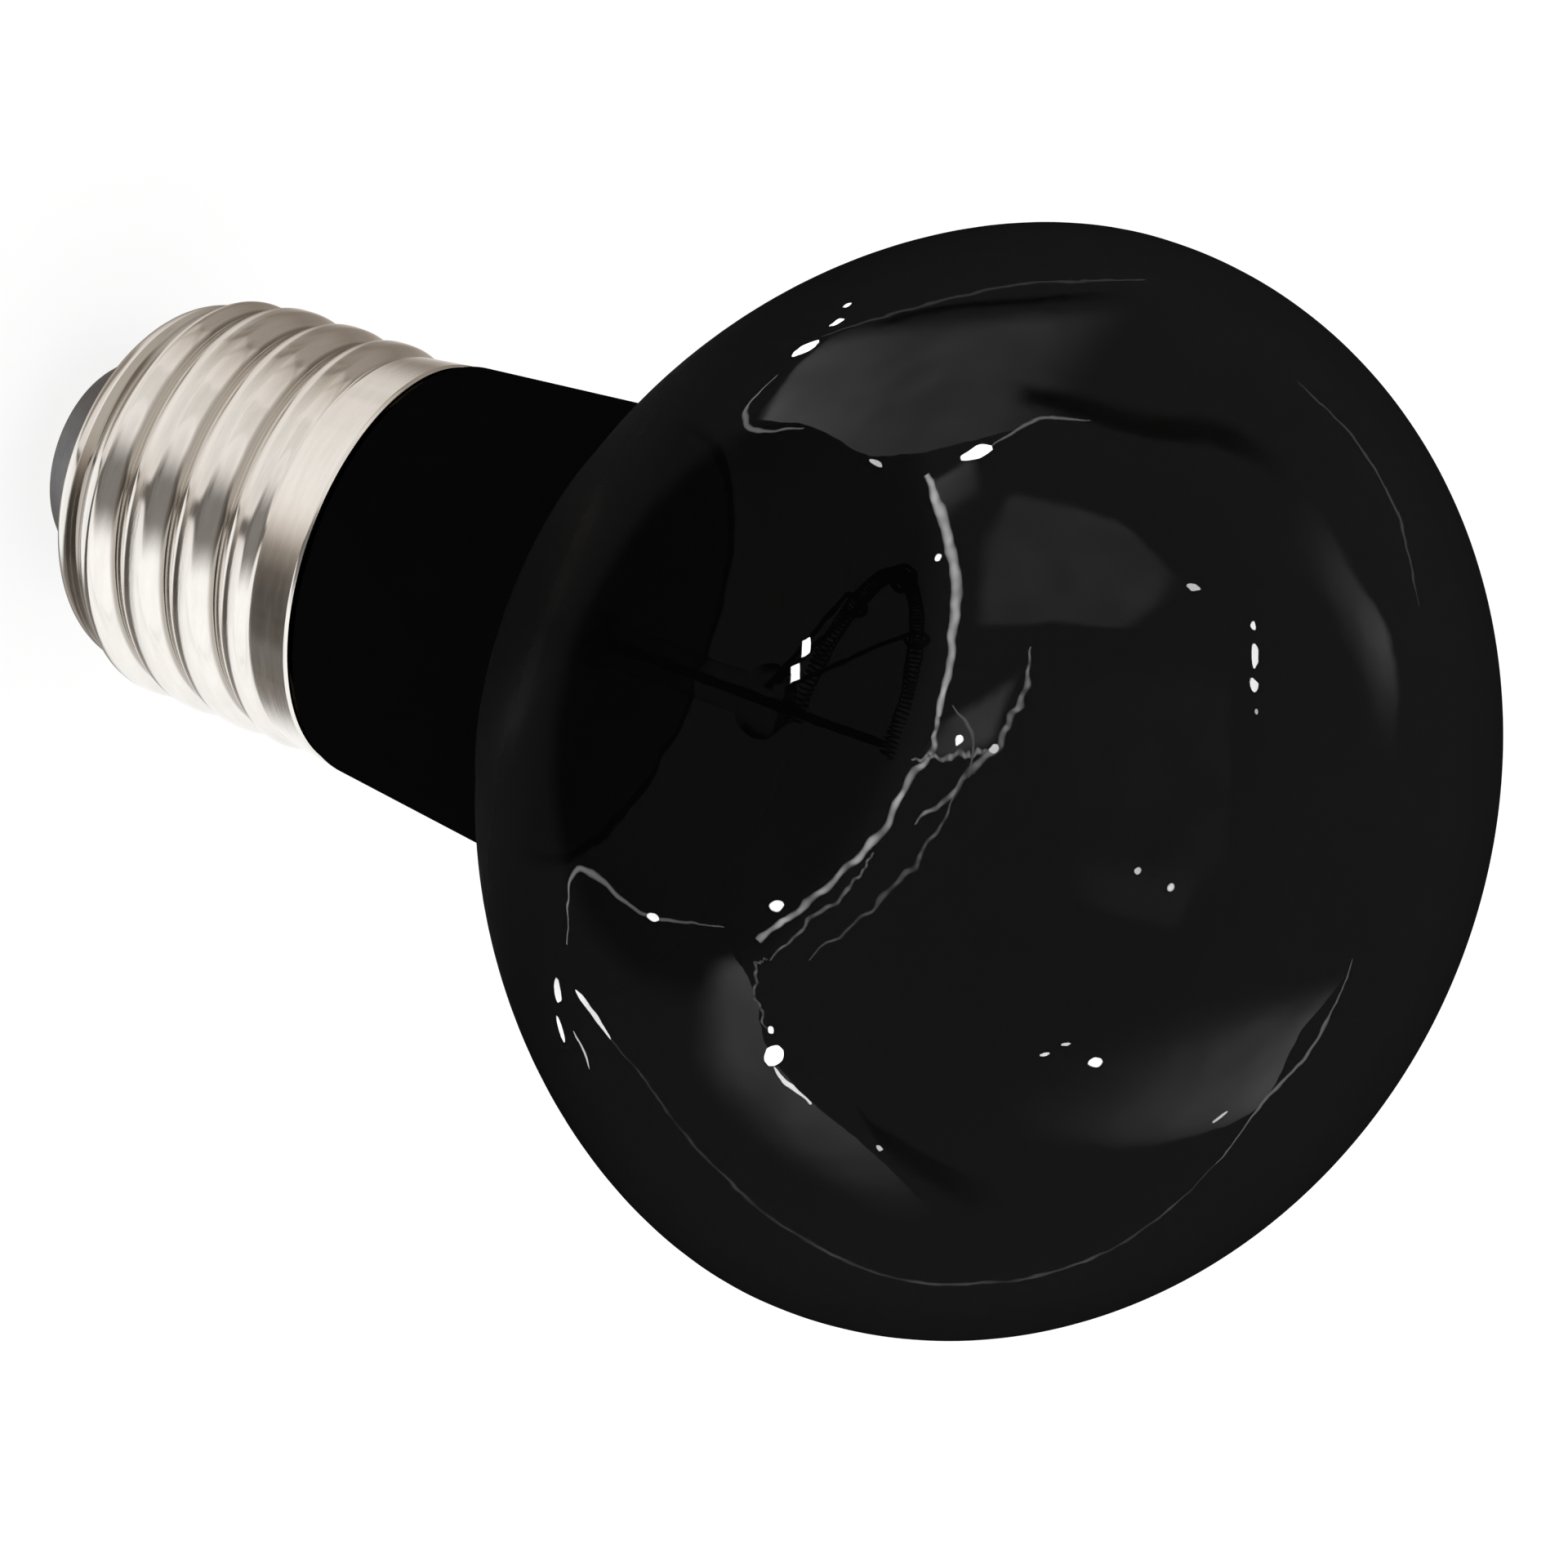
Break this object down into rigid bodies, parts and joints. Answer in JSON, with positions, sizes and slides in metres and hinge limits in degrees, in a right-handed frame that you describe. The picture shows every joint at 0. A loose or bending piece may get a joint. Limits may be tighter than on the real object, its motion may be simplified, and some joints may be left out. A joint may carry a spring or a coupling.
{
  "type": "reflector heat lamp",
  "caption": "Screw-cap heat lamp of dark glass: a domed round head on a short neck, with a plated screw cap, black insulator, stem, lead wires and coiled filament.",
  "frame": {"origin": "on the lamp's axis, in the plane of the screw cap's rim, where the glass neck begins", "axes": "+Z along the lamp's axis from the cap to the domed front; the solder on the cap's rim is on the +Y side"},
  "size_m": [0.0632, 0.0632, 0.0916],
  "materials": {
    "dark_glass": "near-black tinted glass, glossy, coated black inside the neck",
    "stem_glass": "clear glass",
    "plated_sheet": "bright nickel plate",
    "black_insulator": "black cast glass, glossy",
    "contact_plate": "nickel plate",
    "solder": "tin solder, satin",
    "cement": "baked cement, matt",
    "lead_wire": "nickel wire, satin",
    "filament": "tungsten coil, grey",
    "support_wire": "molybdenum wire, satin"
  },
  "bodies": {
    "root": {"glass_bulb": "dark_glass", "stem_glass": "stem_glass", "cap_shell": "plated_sheet", "cap_insulator": "black_insulator", "cap_contact": "contact_plate", "contact_solder": "solder", "side_solder": "solder", "capping_cement": "cement", "lead_wire_side": "lead_wire", "lead_wire_centre": "lead_wire", "filament_coil": "filament", "support_wire_1": "support_wire", "support_wire_2": "support_wire", "support_wire_3": "support_wire"}
  },
  "joints": []
}
